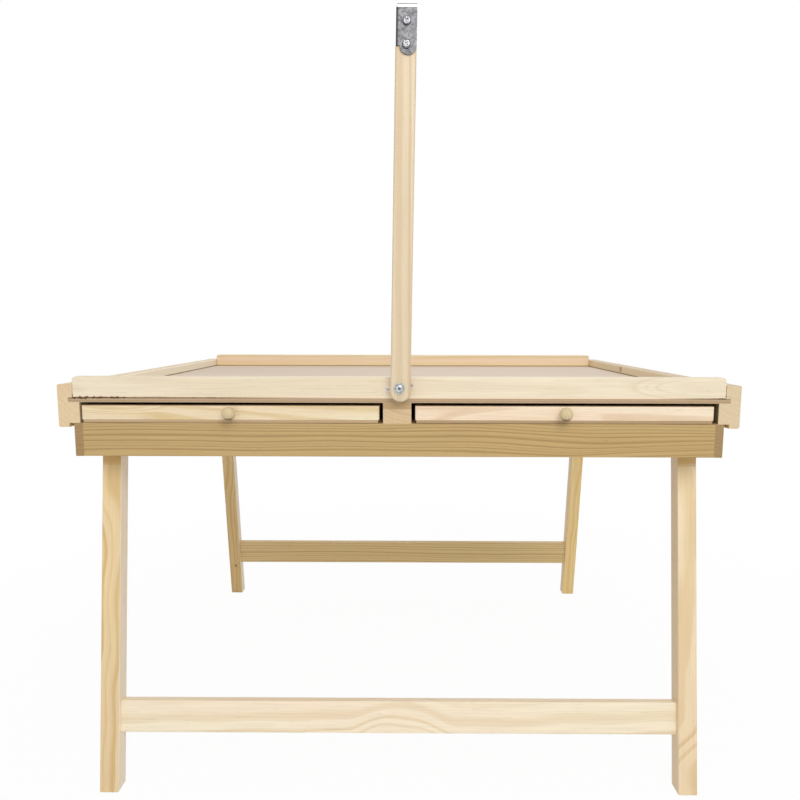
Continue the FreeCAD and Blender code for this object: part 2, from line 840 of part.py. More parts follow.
# Arm: a bar with a round lower end about its bolt and a housing for the bracket's flange.
# It is made upright about the bolt, which is left of its middle, with its back on the plane Y = 0
arm_half = size("arm_width") / 2
arm_middle = size("arm_side_shift")
arm_left = arm_middle - arm_half
arm_right = arm_middle + arm_half
arm_front = -size("arm_thickness")
arm_top = size("arm_reach")
bracket_thick = size("bracket_thickness")
plate_foot = arm_top + bracket_thick - size("bracket_plate_length")
arm = new_body("swing_arm")
heel = (arm_middle, -size("arm_heel"))
pad(arm, "Y", arm_front, zero, rectangle(arm_left, arm_right, heel[1], arm_top))
pad_disc(arm, "Y", arm_front, zero, heel, arm_half)
soften(arm, "Fillet", size("arm_edge_radius"), straight("Z"))
drill(arm, "Y", arm_front, zero, (zero, zero), thread_bore)
bracket_left = arm_left + size("bracket_set_in")
housing_foot = plate_foot - size("bracket_flange_gap")
housing = rectangle(
    arm_left,
    bracket_left + bracket_thick + size("bracket_flange_gap"),
    housing_foot,
    arm_top,
)
pocket(arm, "Y", arm_front, zero, housing)
pilot_bore = size("screw_shank_diameter") / 2 + size("glue_gap")
upper_screw = arm_top + bracket_thick - size("screw_upper_below_top")
lower_screw = upper_screw - size("screw_spacing")
pilot_end = arm_front + size("screw_shank_length") - bracket_thick
screw_across = arm_middle + size("screw_side_shift")
screw_spots = ((screw_across, upper_screw), (screw_across, lower_screw))
for spot in screw_spots:
    drill(arm, "Y", arm_front, pilot_end, spot, pilot_bore)
washer_room = size("washer_thickness") + size("washer_play") * 2
arm_back = -half_depth - plate_thick - washer_room
arm_base = (pivot_point[0], arm_back, arm_pivot_height)
lean = size("arm_lean_angle")
place(arm, arm_base, (0, 1, 0), lean)
parts.append(arm)

# Angle bracket: a front plate with a rolled left edge that turns into a side flange, a round tab
# below, and a back leg that lies over the bar's end and stands out behind it
bracket = new_body("arm_bracket")
plate_front = arm_front - bracket_thick
bracket_top = arm_top + bracket_thick
tab_half = size("bracket_tab_width") / 2
tab_middle = arm_right - tab_half
channel = [
    (arm_right, plate_front),
    (bracket_left, plate_front),
    (bracket_left, zero),
    (bracket_left + bracket_thick, zero),
    (bracket_left + bracket_thick, arm_front),
    (arm_right, arm_front),
]
pad(bracket, "Z", plate_foot, bracket_top, channel)
tab = rectangle(tab_middle - tab_half, arm_right, plate_foot, upper_screw)
pad(bracket, "Y", plate_front, arm_front, tab)
pad_disc(bracket, "Y", plate_front, arm_front, (tab_middle, plate_foot), tab_half)
back_end = plate_front + size("bracket_back_length")
back_leg = rectangle(bracket_left, arm_right, plate_front, back_end)
pad(bracket, "Z", arm_top, bracket_top, back_leg)
top_bend = straight("X", y=plate_front, z=bracket_top)
rolled_edge = straight("Z", x=bracket_left, y=plate_front)
soften(bracket, "Fillet", size("bracket_top_bend"), top_bend)
soften(bracket, "Fillet", size("bracket_side_bend"), rolled_edge)
soften(bracket, "Fillet", size("bracket_back_corner"), straight("Z", y=back_end))
hole_depth = back_end - size("bracket_hole_from_end")
hole_radius = size("bracket_hole_diameter") / 2
drill(bracket, "Z", arm_top, bracket_top, (arm_middle, hole_depth), hole_radius)
for spot in screw_spots:
    drill(bracket, "Y", plate_front, arm_front, spot, pilot_bore)
place(bracket, arm_base, (0, 1, 0), lean)
parts.append(bracket)

# Bracket screws, each with a cross recess that stands like an X
slot_long = size("screw_recess_length") / 2
slot_half = size("screw_recess_width") / 2
cross = [
    (slot_half, slot_half),
    (slot_half, slot_long),
    (-slot_half, slot_long),
    (-slot_half, slot_half),
    (-slot_long, slot_half),
    (-slot_long, -slot_half),
    (-slot_half, -slot_half),
    (-slot_half, -slot_long),
    (slot_half, -slot_long),
    (slot_half, -slot_half),
    (slot_long, -slot_half),
    (slot_long, slot_half),
]
diagonal_share = math.sqrt(2) / 2
turned_cross = [
    ((across - up) * diagonal_share, (across + up) * diagonal_share) for across, up in cross
]
recess_top = size("screw_head_height")
recess_floor = recess_top - size("screw_recess_depth")
bracket_screws = []
for number, spot in enumerate(screw_spots, start=1):
    screw = headed(
        "bracket_screw_%d" % number,
        size("screw_head_diameter") / 2,
        size("screw_head_height"),
        size("screw_head_radius"),
        size("screw_shank_diameter") / 2,
        size("screw_shank_length"),
    )
    pocket(screw, "Z", recess_floor, recess_top, turned_cross)
    head_seat = arm_back + plate_front
    out_right = spot[0] * cosine(lean) + spot[1] * sine(lean)
    out_up = spot[1] * cosine(lean) - spot[0] * sine(lean)
    base_point = (pivot_point[0] + out_right, head_seat, arm_pivot_height + out_up)
    place(screw, base_point, (1, 0, 0), right_angle)
    bracket_screws.append(screw)
parts.append(group("bracket_screws", bracket_screws))

# Arm bolt, threaded into the flange plate's boss, with a washer on each side of the bar
washer_thick = size("washer_thickness")
washer_front = arm_back + arm_front - size("washer_play") - washer_thick
washer_spans = {
    "arm_back_washer": -half_depth - plate_thick - size("washer_play") - washer_thick,
    "arm_front_washer": washer_front,
}
arm_washers = []
for washer_name, low in washer_spans.items():
    centre = (arm_pivot_right, arm_pivot_height)
    radius = size("washer_diameter") / 2
    arm_washers.append(washer(washer_name, "Y", low, low + washer_thick, centre, radius, thread_bore))
parts.append(group("arm_washers", arm_washers))

arm_bolt = headed(
    "arm_bolt",
    size("bolt_head_diameter") / 2,
    size("bolt_head_height"),
    size("bolt_head_radius"),
    size("bolt_diameter") / 2,
    size("plate_boss_length") - half_depth - washer_front,
)
bolt_top = size("bolt_head_height")
socket_floor = bolt_top - size("bolt_socket_depth")
drill(arm_bolt, "Z", socket_floor, bolt_top, (zero, zero), size("bolt_socket_diameter") / 2)
place(arm_bolt, (arm_pivot_right, washer_front, arm_pivot_height), (1, 0, 0), right_angle)
parts.append(arm_bolt)

doc.recompute()

# Every object has to be sound before anything is written
for item in doc.Objects:
    if "Invalid" in item.State or "Error" in item.State:
        raise ValueError("%s failed: %s" % (item.Label, item.State))
for part in parts:
    if part.Shape.isNull() or not part.Shape.isValid():
        raise ValueError("%s has no sound shape" % part.Label)
for part in parts:
    part.Shape.exportStep("parts/%s.step" % part.Label)
print("%d nodes written" % len(parts))
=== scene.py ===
# Looks of the folding jigsaw puzzle table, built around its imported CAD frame.
# X runs along the table's long side, Y from front to back and Z up, all in metres.
import math
import random

import bmesh
import bpy
from mathutils import Matrix, Vector


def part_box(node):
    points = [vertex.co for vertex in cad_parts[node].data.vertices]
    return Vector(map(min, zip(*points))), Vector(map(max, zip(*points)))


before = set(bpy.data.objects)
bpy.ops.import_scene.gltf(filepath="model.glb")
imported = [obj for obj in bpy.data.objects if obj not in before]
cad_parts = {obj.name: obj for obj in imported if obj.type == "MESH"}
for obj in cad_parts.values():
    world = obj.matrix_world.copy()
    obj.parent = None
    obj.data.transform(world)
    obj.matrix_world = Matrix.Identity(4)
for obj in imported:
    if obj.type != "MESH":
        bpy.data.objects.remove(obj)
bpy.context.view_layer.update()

# Camera. It stands a little over a metre in front of the table, just above the tray's level, and looks
# slightly down, so that the swinging arm fills the picture's upper half and the feet its bottom edge
camera_data = bpy.data.cameras.new("photo_camera")
camera_data.sensor_width = 36.0
camera_data.lens = 30.15
camera_data.shift_x = -0.0059
camera_data.shift_y = 0.0120
camera = bpy.data.objects.new("photo_camera", camera_data)
bpy.context.scene.collection.objects.link(camera)
camera_spot = Vector((0.0122, -1.2021, 0.6348))
look_left = 0.0047
look_down = 0.1244
roll = 0.0020
camera.matrix_world = (
    Matrix.Translation(camera_spot)
    @ Matrix.Rotation(look_left, 4, "Z")
    @ Matrix.Rotation(math.pi / 2 - look_down, 4, "X")
    @ Matrix.Rotation(roll, 4, "Z")
)
bpy.context.scene.camera = camera
bpy.context.scene.view_settings.view_transform = "Standard"


# Studio. A white floor and a white surround, which the camera, metal and gloss see as plain white. A
# large soft lamp above and in front of the table gives the shadows, and two weaker ones lighten them
def add_node(tree, kind, feeds=None, **settings):
    """A shader node with its settings, each given input fed by a socket or a plain value."""
    made = tree.nodes.new("ShaderNode" + kind)
    for key, value in settings.items():
        setattr(made, key, value)
    for key, value in (feeds or {}).items():
        if isinstance(value, bpy.types.NodeSocket):
            tree.links.new(value, made.inputs[key])
        else:
            made.inputs[key].default_value = value
    return made


def seen_directly(tree):
    """1 for a ray from the camera, off gloss or through glass, and 0 for one that only brings light."""
    path = add_node(tree, "LightPath")
    direct = add_node(
        tree,
        "Math",
        {0: path.outputs["Is Camera Ray"], 1: path.outputs["Is Glossy Ray"]},
        operation="MAXIMUM",
    )
    return add_node(
        tree,
        "Math",
        {0: direct.outputs[0], 1: path.outputs["Is Transmission Ray"]},
        operation="MAXIMUM",
    ).outputs[0]


white = (1, 1, 1, 1)
surround = bpy.data.worlds.new("white_surround")
surround.use_nodes = True
tree = surround.node_tree
tree.nodes.clear()
ambient_strength = 0.56
level = add_node(
    tree,
    "MapRange",
    {"Value": seen_directly(tree), "To Min": ambient_strength, "To Max": 1.0},
)
sky = add_node(tree, "Background", {"Color": white, "Strength": level.outputs[0]})
add_node(tree, "OutputWorld", {"Surface": sky.outputs[0]})
bpy.context.scene.world = surround

floor_mesh = bpy.data.meshes.new("floor")
floor_half = 12.0
floor_form = bmesh.new()
bmesh.ops.create_grid(floor_form, x_segments=1, y_segments=1, size=floor_half)
floor_form.to_mesh(floor_mesh)
floor_form.free()
floor = bpy.data.objects.new("floor", floor_mesh)
bpy.context.scene.collection.objects.link(floor)
floor_finish = bpy.data.materials.new("white_floor")
floor_finish.use_nodes = True
tree = floor_finish.node_tree
tree.nodes.clear()
matt = add_node(tree, "BsdfDiffuse", {"Color": (0.9, 0.9, 0.9, 1)})
glow = add_node(tree, "Emission", {"Color": white, "Strength": 1.0})
floor_spot = add_node(tree, "TexCoord").outputs["Object"]
distance = add_node(tree, "VectorMath", {0: floor_spot}, operation="LENGTH").outputs["Value"]
glow_near = 0.96
near = 0.5
far = 1.5
share = add_node(
    tree,
    "MapRange",
    {"Value": distance, "From Min": near, "From Max": far, "To Min": glow_near},
    interpolation_type="SMOOTHSTEP",
).outputs[0]
glow_share = add_node(tree, "Math", {0: seen_directly(tree), 1: share}, operation="MULTIPLY")
mixed = add_node(tree, "MixShader", {0: glow_share.outputs[0], 1: matt.outputs[0], 2: glow.outputs[0]})
add_node(tree, "OutputMaterial", {"Surface": mixed.outputs[0]})
floor_mesh.materials.append(floor_finish)

lamp_target = Vector((0.0, 0.0, 0.45))
lamps = (
    ("key_lamp", (0.55, -2.0, 1.9), 1.2, 20.6),
    ("fill_lamp", (-0.8, -2.0, 1.1), 1.6, 4.2),
    ("rear_lamp", (0.2, 2.2, 2.0), 1.8, 10.0),
)
for lamp_name, spot, lamp_size, watts in lamps:
    lamp_data = bpy.data.lights.new(lamp_name, "AREA")
    lamp_data.size = lamp_size
    lamp_data.energy = watts
    lamp = bpy.data.objects.new(lamp_name, lamp_data)
    bpy.context.scene.collection.objects.link(lamp)
    lamp.location = spot
    aim = lamp_target - Vector(spot)
    lamp.rotation_euler = aim.to_track_quat("-Z", "Y").to_euler()


# Side rails. Sawn and grooved pine lengths that run from front to back, with their end grain to the
# front. A thin clear lacquer leaves them pale. Their inner faces are painted paler as painted light,
# the right one's top is painted browner as painted shade, the walls beside the drawers carry painted
# shade, and the joint with the tray is dark
def paint(red, green, blue):
    """A screen colour of 0 to 255 as the linear colour that a shader takes."""
    bands = [band / 255 for band in (red, green, blue)]
    linear = [band / 12.92 if band <= 0.04045 else ((band + 0.055) / 1.055) ** 2.4 for band in bands]
    return (*linear, 1.0)


TURNS = {
    "X": (0.0, math.pi / 2, 0.0),
    "Y": (-math.pi / 2, 0.0, 0.0),
    "Z": (0.0, 0.0, 0.0),
}


def finish(name, material):
    """Gives a node of the frame its finish."""
    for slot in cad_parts[name].material_slots:
        slot.material = material


def timber(
    name,
    along,
    pith,
    pale,
    late,
    blush,
    ring=0.005,
    contrast=0.4,
    wander=0.004,
    lean=(0.0, 0.0),
    blush_share=0.4,
    end_tone=(0.90, 0.86, 0.80, 1),
    end_rings=1.0,
    waves=1.6,
    knots=(),
    shades=(),
):
    """Lacquered softwood as one solid pattern: growth rings about a pith line, fibres along it, a blush
    of heartwood, duller end grain, any knots and flames, and any shades, each on the faces that look
    one way between two heights, which paint light and shade on some parts and bands of tone on others."""
    material = bpy.data.materials.new(name + "_timber")
    material.use_nodes = True
    tree = material.node_tree
    tree.nodes.clear()
    turn = list(TURNS[along])
    turn["XYZ".index(along) - 2] += lean[0]
    turn["XYZ".index(along) - 1] += lean[1]
    surface = add_node(tree, "TexCoord")
    place = surface.outputs["Object"]
    log = add_node(
        tree,
        "Mapping",
        {"Vector": place, "Location": pith, "Rotation": turn},
        vector_type="TEXTURE",
    ).outputs[0]

    def streaks(across, lengthwise, detail, seed):
        """Noise drawn out along the log."""
        drawn = add_node(
            tree,
            "Mapping",
            {"Vector": log, "Location": (seed, seed, seed), "Scale": (across, across, lengthwise)},
        )
        return add_node(
            tree,
            "TexNoise",
            {"Vector": drawn.outputs[0], "Scale": 1.0, "Detail": detail, "Roughness": 0.55},
        )

    drift = streaks(9.0, waves, 2.0, 3.1).outputs["Color"]
    fine_drift = streaks(60.0, 5.0, 2.0, 7.7).outputs["Color"]
    ripple = 0.0012
    centred = add_node(
        tree,
        "VectorMath",
        {0: drift, 1: (wander * 6, wander * 6, 0), 2: (-wander * 3, -wander * 3, 0)},
        operation="MULTIPLY_ADD",
    )
    bent = add_node(tree, "VectorMath", {0: log, 1: centred.outputs[0]}, operation="ADD")
    rippled = add_node(
        tree,
        "VectorMath",
        {0: fine_drift, 1: (ripple, ripple, 0), 2: bent.outputs[0]},
        operation="MULTIPLY_ADD",
    )
    flat = add_node(tree, "VectorMath", {0: rippled.outputs[0], 1: (1, 1, 0)}, operation="MULTIPLY")
    radius = add_node(tree, "VectorMath", {0: flat.outputs[0]}, operation="LENGTH").outputs["Value"]

    knot_share = None
    for centre, half_axes, heart_depth, shove in knots:
        scaled = add_node(
            tree,
            "Mapping",
            {"Vector": place, "Location": centre, "Scale": half_axes},
            vector_type="TEXTURE",
        )
        away = add_node(tree, "VectorMath", {0: scaled.outputs[0]}, operation="LENGTH").outputs["Value"]
        push = add_node(
            tree,
            "MapRange",
            {"Value": away, "From Min": 0.6, "From Max": 3.0, "To Min": shove, "To Max": 0.0},
            interpolation_type="SMOOTHERSTEP",
        ).outputs[0]
        radius = add_node(tree, "Math", {0: radius, 1: push}, operation="ADD").outputs[0]
        heart = add_node(
            tree,
            "MapRange",
            {"Value": away, "From Min": 1.15, "From Max": 0.55, "To Max": heart_depth},
            interpolation_type="SMOOTHSTEP",
        ).outputs[0]
        if knot_share:
            knot_share = add_node(tree, "Math", {0: knot_share, 1: heart}, operation="MAXIMUM").outputs[0]
        else:
            knot_share = heart

    crowding = 3.0
    weakest_year = 0.35
    count = add_node(tree, "Math", {0: radius, 1: ring}, operation="DIVIDE").outputs[0]
    crowd = add_node(tree, "TexNoise", {"W": count, "Scale": 0.23, "Detail": 1.0}, noise_dimensions="1D")
    count = add_node(
        tree,
        "Math",
        {0: crowd.outputs[0], 1: crowding, 2: count},
        operation="MULTIPLY_ADD",
    ).outputs[0]
    phase = add_node(tree, "Math", {0: count}, operation="FRACT").outputs[0]
    season = add_node(tree, "ValToRGB", {"Fac": phase})
    ramp = season.color_ramp
    ramp.interpolation = "EASE"
    ramp.elements[0].color = (0, 0, 0, 1)
    ramp.elements[1].color = (0, 0, 0, 1)
    for position, grey in ((0.42, 0.10), (0.74, 1.0), (0.90, 0.80)):
        ramp.elements.new(position).color = (grey, grey, grey, 1)
    year = add_node(tree, "Math", {0: count}, operation="FLOOR").outputs[0]
    vigour = add_node(tree, "TexWhiteNoise", {"W": year}, noise_dimensions="1D").outputs["Value"]
    vigour = add_node(tree, "MapRange", {"Value": vigour, "To Min": weakest_year}).outputs[0]
    lateness = add_node(
        tree, "Math", {0: season.outputs[0], 1: vigour}, operation="MULTIPLY"
    ).outputs[0]
    depth = add_node(tree, "Math", {0: lateness, 1: contrast}, operation="MULTIPLY").outputs[0]

    facing = add_node(
        tree,
        "VectorMath",
        {0: surface.outputs["Normal"], 1: [float(axis == along) for axis in "XYZ"]},
        operation="DOT_PRODUCT",
    ).outputs["Value"]
    facing = add_node(tree, "Math", {0: facing}, operation="ABSOLUTE").outputs[0]
    end_share = add_node(tree, "MapRange", {"Value": facing, "From Min": 0.75, "From Max": 0.97}).outputs[0]
    softened = add_node(tree, "MapRange", {"Value": end_share, "To Min": 1.0, "To Max": end_rings}).outputs[0]
    depth = add_node(tree, "Math", {0: depth, 1: softened}, operation="MULTIPLY").outputs[0]

    warmth = streaks(16.0, 1.4, 2.0, 12.9).outputs["Fac"]
    warmth = add_node(
        tree,
        "MapRange",
        {"Value": warmth, "From Min": 0.42, "From Max": 0.66, "To Min": 0.0, "To Max": blush_share},
        interpolation_type="SMOOTHSTEP",
    ).outputs[0]
    body = add_node(tree, "Mix", {0: warmth, 6: pale, 7: blush}, data_type="RGBA").outputs[2]
    ringed = add_node(tree, "Mix", {0: depth, 6: body, 7: late}, data_type="RGBA").outputs[2]

    fibre = streaks(620.0, 11.0, 3.0, 21.3).outputs["Fac"]
    fibre_tone = add_node(
        tree,
        "MapRange",
        {"Value": fibre, "From Min": 0.3, "From Max": 0.7, "To Min": 0.94, "To Max": 1.05},
    ).outputs[0]
    pores = streaks(900.0, 42.0, 1.0, 33.9).outputs["Fac"]
    pore_tone = add_node(
        tree,
        "MapRange",
        {"Value": pores, "From Min": 0.66, "From Max": 0.76, "To Min": 1.0, "To Max": 0.86},
    ).outputs[0]
    texture = add_node(tree, "Math", {0: fibre_tone, 1: pore_tone}, operation="MULTIPLY").outputs[0]
    grained = add_node(
        tree,
        "Mix",
        {0: 1.0, 6: ringed, 7: texture},
        data_type="RGBA",
        blend_type="MULTIPLY",
    ).outputs[2]

    colour = add_node(
        tree,
        "Mix",
        {0: end_share, 6: grained, 7: end_tone},
        data_type="RGBA",
        blend_type="MULTIPLY",
    ).outputs[2]
    soft_foot = 0.0012
    soft_top = 0.0008
    height = add_node(tree, "SeparateXYZ", {0: place}).outputs[2]
    for way, low, high, strength, tone in shades:
        turned = add_node(
            tree, "VectorMath", {0: surface.outputs["Normal"], 1: way}, operation="DOT_PRODUCT"
        ).outputs["Value"]
        turned = add_node(
            tree, "MapRange", {"Value": turned, "From Min": 0.5, "From Max": 0.8, "To Max": strength}
        ).outputs[0]
        over = add_node(tree, "MapRange", {"Value": height, "From Min": low, "From Max": low + soft_foot})
        under = add_node(tree, "MapRange", {"Value": height, "From Min": high, "From Max": high - soft_top})
        within = add_node(tree, "Math", {0: over.outputs[0], 1: under.outputs[0]}, operation="MULTIPLY")
        share = add_node(tree, "Math", {0: turned, 1: within.outputs[0]}, operation="MULTIPLY").outputs[0]
        colour = add_node(tree, "Mix", {0: share, 6: colour, 7: tone}, data_type="RGBA").outputs[2]
    if knot_share:
        knot_brown = paint(150, 104, 62)
        colour = add_node(tree, "Mix", {0: knot_share, 6: colour, 7: knot_brown}, data_type="RGBA").outputs[2]

    gloss = add_node(
        tree,
        "MapRange",
        {"Value": fibre, "From Min": 0.3, "From Max": 0.7, "To Min": 0.42, "To Max": 0.58},
    ).outputs[0]
    end_dullness = 0.2
    ring_relief = 0.6
    dullness = add_node(
        tree, "Math", {0: end_share, 1: end_dullness, 2: gloss}, operation="MULTIPLY_ADD"
    ).outputs[0]
    relief = add_node(
        tree, "Math", {0: lateness, 1: ring_relief, 2: fibre}, operation="MULTIPLY_ADD"
    ).outputs[0]
    bump = add_node(tree, "Bump", {"Height": relief, "Strength": 0.25, "Distance": 0.0003})
    shader = add_node(
        tree,
        "BsdfPrincipled",
        {
            "Base Color": colour,
            "Roughness": dullness,
            "Normal": bump.outputs[0],
            "Coat Weight": 0.12,
            "Coat Roughness": 0.3,
            "Specular IOR Level": 0.4,
        },
    )
    add_node(tree, "OutputMaterial", {"Surface": shader.outputs[0]})
    finish(name, material)


rail_pale = paint(236, 214, 176)
rail_late = paint(206, 168, 112)
rail_blush = paint(232, 202, 166)
slot_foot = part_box("centre_beam")[0].z
slot_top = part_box("centre_beam")[1].z
slot_painted_shade = paint(62, 44, 26)
lip_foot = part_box("tray_lining")[1].z
lip_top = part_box("right_side_rail")[1].z
lip_brown = paint(110, 88, 60)
joint_low = lip_foot - 0.002
joint_high = lip_foot + 0.0020
over_rail = lip_foot + 0.1
timber(
    "left_side_rail",
    "Y",
    (-0.395, 0.0, 0.575),
    rail_pale,
    rail_late,
    rail_blush,
    ring=0.0065,
    contrast=0.5,
    lean=(0.012, 0.006),
    end_tone=(0.93, 0.90, 0.86, 1),
    end_rings=0.3,
    shades=(
        # Painted shade on the wall beside the drawers
        ((1, 0, 0), slot_foot, slot_top, 0.35, slot_painted_shade),
        # Painted light: the inner face above the tray is painted paler
        ((1, 0, 0), lip_foot, over_rail, 0.85, paint(253, 245, 224)),
        ((1, 0, 0), joint_low, joint_high, 0.9, lip_brown),
    ),
)
timber(
    "right_side_rail",
    "Y",
    (0.46, 0.0, 0.60),
    rail_pale,
    rail_late,
    rail_blush,
    ring=0.0065,
    contrast=0.5,
    lean=(-0.01, 0.008),
    end_tone=(0.87, 0.86, 0.86, 1),
    end_rings=0.3,
    knots=(((0.4236, 0.096, 0.5525), (0.006, 0.009, 0.0065), 0.62, 0.0075),),
    shades=(
        # Painted shade on the wall beside the drawers
        ((-1, 0, 0), slot_foot, slot_top, 0.75, slot_painted_shade),
        # Painted light: the inner face above the tray is painted paler
        ((-1, 0, 0), lip_foot, over_rail, 0.85, paint(238, 219, 184)),
        # Painted shade: the top face is painted browner
        ((0, 0, 1), lip_top - 0.003, lip_top + 0.003, 0.85, paint(204, 180, 138)),
        ((-1, 0, 0), joint_low, joint_high, 0.9, lip_brown),
    ),
)


# Tray board and its lining. The board is plywood slid into the rails' grooves, and its sawn front edge
# shows the plies. The lining on it is a smooth, matt board of a pinkish grey. The joint between them
# carries a painted shade, dark and ragged near the left end, which thins to a line towards the middle
# and is slight on the right
def plywood(name, face, streak, edge, dark_edge, plies, low, high, joint=None, seam=()):
    """Layered board with a streaky face. The joint is a height on its front edge, and the seam lists
    places along it with how dark and ragged the painted shade in it is there."""
    material = bpy.data.materials.new(name + "_plywood")
    material.use_nodes = True
    tree = material.node_tree
    tree.nodes.clear()
    surface = add_node(tree, "TexCoord")
    place = surface.outputs["Object"]
    drawn = add_node(tree, "Mapping", {"Vector": place, "Scale": (5.0, 120.0, 120.0)})
    veneer = add_node(
        tree, "TexNoise", {"Vector": drawn.outputs[0], "Scale": 1.0, "Detail": 4.0, "Roughness": 0.6}
    )
    broad = add_node(tree, "Mapping", {"Vector": place, "Scale": (1.2, 6.0, 6.0)})
    clouds = add_node(tree, "TexNoise", {"Vector": broad.outputs[0], "Scale": 1.0, "Detail": 2.0})
    figure = add_node(
        tree, "Math", {0: veneer.outputs["Fac"], 1: clouds.outputs["Fac"]}, operation="MULTIPLY"
    ).outputs[0]
    figure = add_node(
        tree, "MapRange", {"Value": figure, "From Min": 0.16, "From Max": 0.36, "To Max": 0.55}
    ).outputs[0]
    top = add_node(tree, "Mix", {0: figure, 6: face, 7: streak}, data_type="RGBA").outputs[2]

    levels = add_node(tree, "SeparateXYZ", {0: place}).outputs[2]
    rise = add_node(
        tree, "MapRange", {"Value": levels, "From Min": low, "From Max": high, "To Max": float(plies)}
    ).outputs[0]
    band = add_node(tree, "Math", {0: rise, 1: 1.0}, operation="PINGPONG").outputs[0]
    speckled = add_node(tree, "Mapping", {"Vector": place, "Scale": (260.0, 260.0, 900.0)})
    speckle = add_node(tree, "TexNoise", {"Vector": speckled.outputs[0], "Scale": 1.0, "Detail": 3.0})
    layer = add_node(
        tree, "Math", {0: speckle.outputs["Fac"], 1: 0.7, 2: band}, operation="MULTIPLY_ADD"
    ).outputs[0]
    layer = add_node(tree, "MapRange", {"Value": layer, "From Min": 0.2, "From Max": 1.5}).outputs[0]
    side = add_node(tree, "Mix", {0: layer, 6: edge, 7: dark_edge}, data_type="RGBA").outputs[2]
    if seam:
        reach = 0.5
        blot_size = 0.0014
        thinnest = 0.0006
        blur = 0.0004
        along = add_node(tree, "SeparateXYZ", {0: place}).outputs[0]
        share = add_node(tree, "MapRange", {"Value": along, "From Min": -reach, "From Max": reach}).outputs[0]
        strength = add_node(tree, "ValToRGB", {"Fac": share})
        stops = strength.color_ramp.elements
        for stop, (spot, dark) in zip(stops, (seam[0], seam[-1])):
            stop.position = spot + reach
            stop.color = (dark, dark, dark, 1)
        for spot, dark in seam[1:-1]:
            stops.new(spot + reach).color = (dark, dark, dark, 1)
        ragged = add_node(tree, "TexNoise", {"Vector": place, "Scale": 210.0, "Detail": 3.0}).outputs["Fac"]
        blots = add_node(
            tree,
            "MapRange",
            {"Value": ragged, "From Min": 0.45, "From Max": 0.60, "To Max": blot_size},
        ).outputs[0]
        raggedness = add_node(
            tree, "Math", {0: strength.outputs[0], 1: 2.0}, operation="POWER"
        ).outputs[0]
        half_line = add_node(
            tree, "Math", {0: blots, 1: raggedness, 2: thinnest}, operation="MULTIPLY_ADD"
        ).outputs[0]
        off_joint = add_node(tree, "Math", {0: levels, 1: joint}, operation="SUBTRACT").outputs[0]
        off_joint = add_node(tree, "Math", {0: off_joint}, operation="ABSOLUTE").outputs[0]
        off_joint = add_node(tree, "Math", {0: off_joint, 1: half_line}, operation="SUBTRACT").outputs[0]
        shadow = add_node(
            tree, "MapRange", {"Value": off_joint, "From Min": blur, "From Max": 0.0}
        ).outputs[0]
        dark_share = add_node(
            tree, "MapRange", {"Value": strength.outputs[0], "From Max": 0.6, "To Max": 0.95}
        ).outputs[0]
        shadow = add_node(tree, "Math", {0: shadow, 1: dark_share}, operation="MULTIPLY").outputs[0]
        # Only the front edge carries the painted shade: on the rear one this gives less than 0, which Mix
        # takes as 0
        forwards = add_node(
            tree, "VectorMath", {0: surface.outputs["Normal"], 1: (0, -1, 0)}, operation="DOT_PRODUCT"
        ).outputs["Value"]
        forwards = add_node(tree, "Math", {0: forwards}, operation="ROUND").outputs[0]
        shadow = add_node(tree, "Math", {0: shadow, 1: forwards}, operation="MULTIPLY").outputs[0]
        # Colour of the painted shade in the joint
        seam_shade_brown = paint(84, 54, 6)
        side = add_node(tree, "Mix", {0: shadow, 6: side, 7: seam_shade_brown}, data_type="RGBA").outputs[2]

    facing = add_node(
        tree, "VectorMath", {0: surface.outputs["Normal"], 1: (0, 0, 1)}, operation="DOT_PRODUCT"
    ).outputs["Value"]
    facing = add_node(tree, "Math", {0: facing}, operation="ABSOLUTE").outputs[0]
    face_share = add_node(tree, "MapRange", {"Value": facing, "From Min": 0.6, "From Max": 0.9}).outputs[0]
    colour = add_node(tree, "Mix", {0: face_share, 6: side, 7: top}, data_type="RGBA").outputs[2]
    relief = add_node(
        tree, "Math", {0: speckle.outputs["Fac"], 1: veneer.outputs["Fac"]}, operation="ADD"
    ).outputs[0]
    bump = add_node(tree, "Bump", {"Height": relief, "Strength": 0.2, "Distance": 0.0002})
    gloss = add_node(
        tree, "MapRange", {"Value": veneer.outputs["Fac"], "To Min": 0.55, "To Max": 0.75}
    ).outputs[0]
    shader = add_node(
        tree,
        "BsdfPrincipled",
        {"Base Color": colour, "Roughness": gloss, "Normal": bump.outputs[0], "Specular IOR Level": 0.35},
    )
    add_node(tree, "OutputMaterial", {"Surface": shader.outputs[0]})
    finish(name, material)


tray_low, tray_high = (corner.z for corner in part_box("tray_board"))
tray_joint = tray_high + 0.0004
# Painted shade in the joint between tray board and lining, strongest near the left end
joint_painted_shade = (
    (-0.425, 1.0),
    (-0.392, 1.0),
    (-0.384, 0.6),
    (-0.364, 0.8),
    (-0.350, 0.48),
    (-0.240, 0.44),
    (-0.120, 0.15),
    (0.0, 0.0),
    (0.33, 0.0),
    (0.41, 0.5),
)
plywood(
    "tray_board",
    paint(206, 184, 152),
    paint(190, 164, 128),
    paint(196, 171, 138),
    paint(170, 142, 108),
    plies=3,
    low=tray_low,
    high=tray_high,
    joint=tray_joint,
    seam=joint_painted_shade,
)
lining_low, lining_high = (corner.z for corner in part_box("tray_lining"))
plywood(
    "tray_lining",
    paint(229, 211, 191),
    paint(217, 198, 176),
    paint(246, 226, 196),
    paint(236, 214, 182),
    plies=1,
    low=lining_low,
    high=lining_high,
    joint=tray_joint,
    seam=joint_painted_shade,
)

